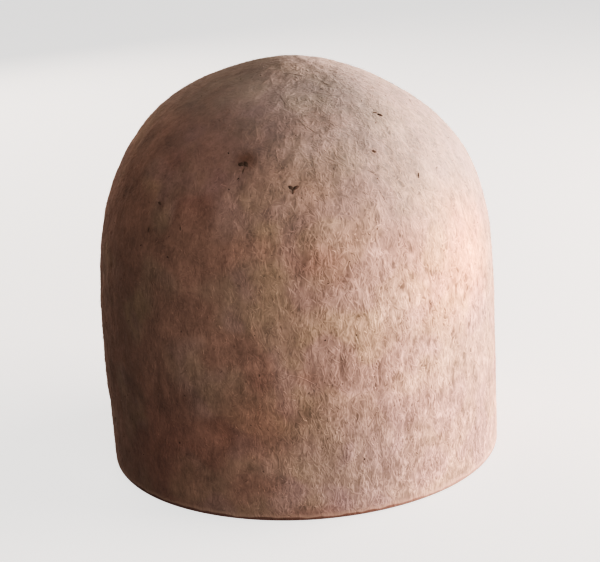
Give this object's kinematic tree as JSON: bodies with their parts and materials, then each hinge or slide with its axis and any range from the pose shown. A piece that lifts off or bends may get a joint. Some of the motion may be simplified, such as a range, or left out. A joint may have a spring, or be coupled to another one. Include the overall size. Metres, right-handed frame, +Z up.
{
  "type": "felt hat",
  "caption": "Tall brimless cap with a domed crown: one even wall of thick brown wool felt, open at its rim for a head.",
  "frame": {"origin": "centre of the rim, on the surface that the rim rests on", "axes": "+Z up through the middle of the crown; -Y is the front, which the picture shows; +X is the wearer's left"},
  "size_m": [0.189, 0.188, 0.189],
  "materials": {
    "felt": "matte brown wool felt with fine fibres standing off it"
  },
  "bodies": {
    "root": {"felt_cap": "felt"}
  },
  "joints": []
}
